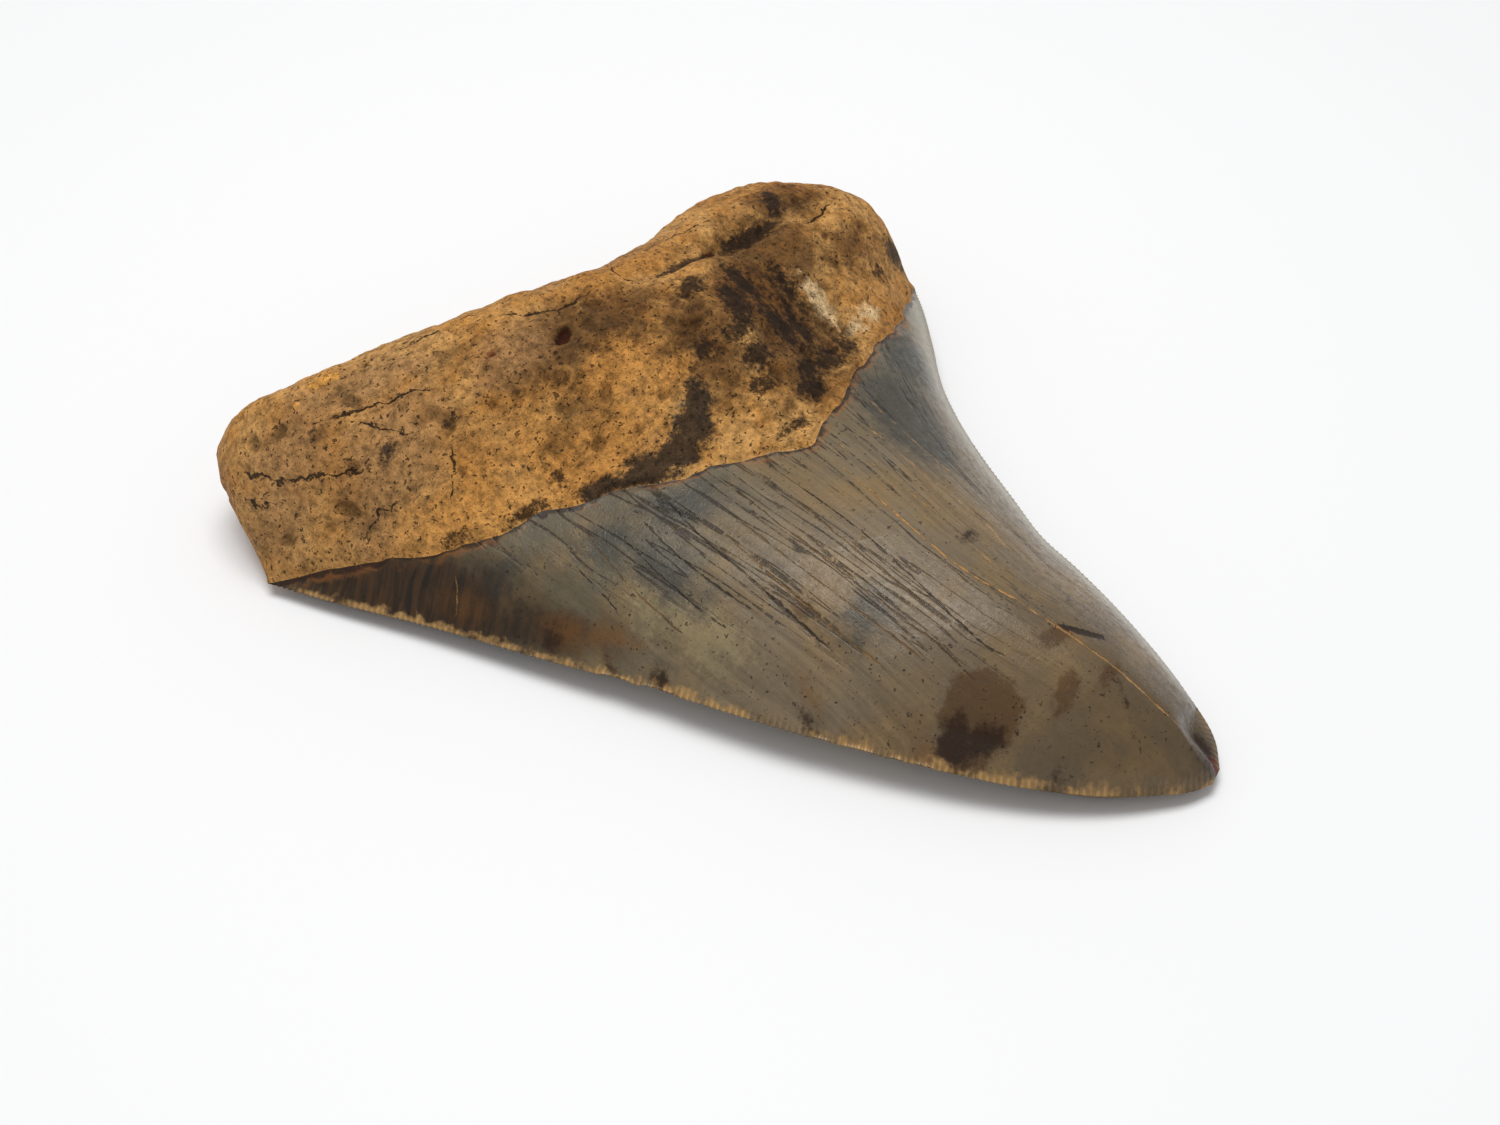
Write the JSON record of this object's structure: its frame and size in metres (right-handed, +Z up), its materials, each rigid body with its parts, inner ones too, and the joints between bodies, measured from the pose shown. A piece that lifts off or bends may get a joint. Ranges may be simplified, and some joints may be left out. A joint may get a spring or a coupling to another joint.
{
  "type": "megalodon tooth",
  "caption": "Fossil shark tooth with a bony lobed root and a broad enamelled crown that tapers to a point between serrated cutting edges, lying on its flatter face for display.",
  "frame": {"origin": "on the table under the middle of the tooth's outline, as it lies on its labial face", "axes": "+Y from the crown's tip to the root, +X across the tooth towards its shorter cutting edge, +Z up, out of the lingual face"},
  "size_m": [0.0888, 0.1104, 0.0247],
  "materials": {
    "fossil_tooth": "mineralised tooth: matt porous tan-brown bone on the root, satin grey enamel with fine brown lengthwise cracks on the crown"
  },
  "bodies": {
    "root": {"tooth": "fossil_tooth"}
  },
  "joints": []
}
